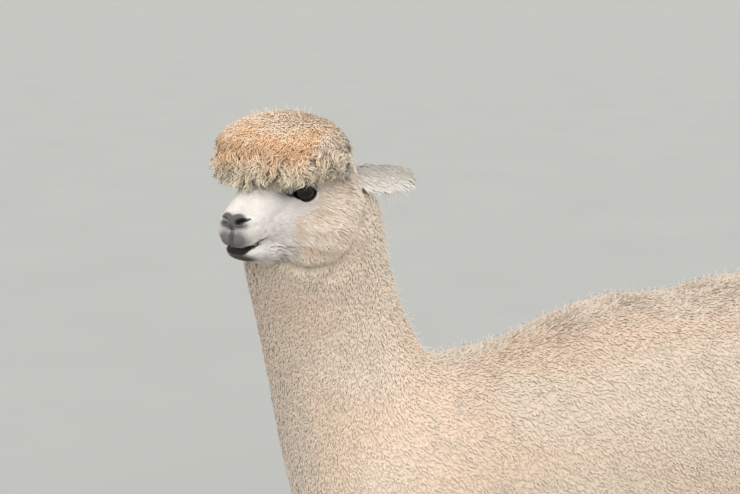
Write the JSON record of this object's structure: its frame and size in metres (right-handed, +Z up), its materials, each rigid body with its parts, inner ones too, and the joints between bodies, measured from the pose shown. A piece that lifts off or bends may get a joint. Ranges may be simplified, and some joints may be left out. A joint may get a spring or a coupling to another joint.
{
  "type": "alpaca",
  "caption": "Life-size standing huacaya alpaca with a cream fleece, a round tan topknot and a white face, its head turned to its left.",
  "frame": {"origin": "on the ground, under the middle of the bounding box", "axes": "+Z up, the animal faces -Y, its left side is +X; the head alone is turned to the left"},
  "size_m": [0.464, 1.2418, 1.366],
  "materials": {
    "fleece": "matte crimped wool in soft locks, cream",
    "topknot_fleece": "matte curly wool, tan with paler tips",
    "short_hair": "short dense white hair, soft sheen",
    "eye": "wet and near black",
    "nail": "worn dark horn"
  },
  "bodies": {
    "root": {"ear_left": "short_hair", "ear_right": "short_hair", "eye_left": "eye", "eye_right": "eye", "fore_foot_left": "short_hair", "fore_foot_right": "short_hair", "fore_leg_left": "fleece", "fore_leg_right": "fleece", "fore_nail_left_inner": "nail", "fore_nail_left_outer": "nail", "fore_nail_right_inner": "nail", "fore_nail_right_outer": "nail", "fore_shank_left": "fleece", "fore_shank_right": "fleece", "head": "short_hair", "hind_foot_left": "short_hair", "hind_foot_right": "short_hair", "hind_leg_left": "fleece", "hind_leg_right": "fleece", "hind_nail_left_inner": "nail", "hind_nail_left_outer": "nail", "hind_nail_right_inner": "nail", "hind_nail_right_outer": "nail", "hind_shank_left": "fleece", "hind_shank_right": "fleece", "lower_jaw": "short_hair", "neck": "fleece", "tail": "fleece", "topknot": "topknot_fleece", "trunk": "fleece"}
  },
  "joints": []
}
